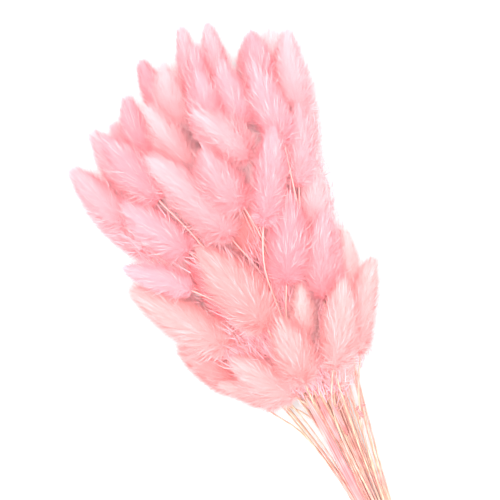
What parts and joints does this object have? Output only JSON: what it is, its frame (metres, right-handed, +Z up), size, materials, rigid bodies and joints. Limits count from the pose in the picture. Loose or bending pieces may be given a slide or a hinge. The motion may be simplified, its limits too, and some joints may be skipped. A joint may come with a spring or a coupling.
{
  "type": "dried bunny tail grass bunch",
  "caption": "Bunch of dried bunny tail grass, dyed pink: soft oval heads on thin straw stems, tied with a band near the cut ends and lying on its side.",
  "frame": {"origin": "on the table, under the middle of the whole bunch", "axes": "+Z up from the table; +Y along the bundle from the cut ends of the stems towards the heads; +X to the right when seen from above with the heads away from the viewer"},
  "size_m": [0.131, 0.3668, 0.0773],
  "materials": {
    "pink_fur": "matte",
    "straw_stem": "satin",
    "dry_leaf": "matte",
    "band": "satin"
  },
  "bodies": {
    "root": {"tail_01": "pink_fur", "tail_02": "pink_fur", "tail_03": "pink_fur", "tail_04": "pink_fur", "tail_05": "pink_fur", "tail_06": "pink_fur", "tail_07": "pink_fur", "tail_08": "pink_fur", "tail_09": "pink_fur", "tail_10": "pink_fur", "tail_11": "pink_fur", "tail_12": "pink_fur", "tail_13": "pink_fur", "tail_14": "pink_fur", "tail_15": "pink_fur", "tail_16": "pink_fur", "tail_17": "pink_fur", "tail_18": "pink_fur", "tail_19": "pink_fur", "tail_20": "pink_fur", "tail_21": "pink_fur", "tail_22": "pink_fur", "tail_23": "pink_fur", "tail_24": "pink_fur", "tail_25": "pink_fur", "tail_26": "pink_fur", "tail_27": "pink_fur", "tail_28": "pink_fur", "tail_29": "pink_fur", "tail_30": "pink_fur", "tail_31": "pink_fur", "tail_32": "pink_fur", "tail_33": "pink_fur", "tail_34": "pink_fur", "tail_35": "pink_fur", "tail_36": "pink_fur", "tail_37": "pink_fur", "tail_38": "pink_fur", "tail_39": "pink_fur", "tail_40": "pink_fur", "tail_41": "pink_fur", "tail_42": "pink_fur", "tail_43": "pink_fur", "tail_44": "pink_fur", "tail_45": "pink_fur", "tail_46": "pink_fur", "tail_47": "pink_fur", "tail_48": "pink_fur", "tail_49": "pink_fur", "tail_50": "pink_fur", "tail_51": "pink_fur", "tail_52": "pink_fur", "tail_53": "pink_fur", "tail_54": "pink_fur", "tail_55": "pink_fur", "tie": "band", "leaf_1": "dry_leaf", "leaf_2": "dry_leaf", "leaf_3": "dry_leaf", "leaf_4": "dry_leaf"}
  },
  "joints": []
}
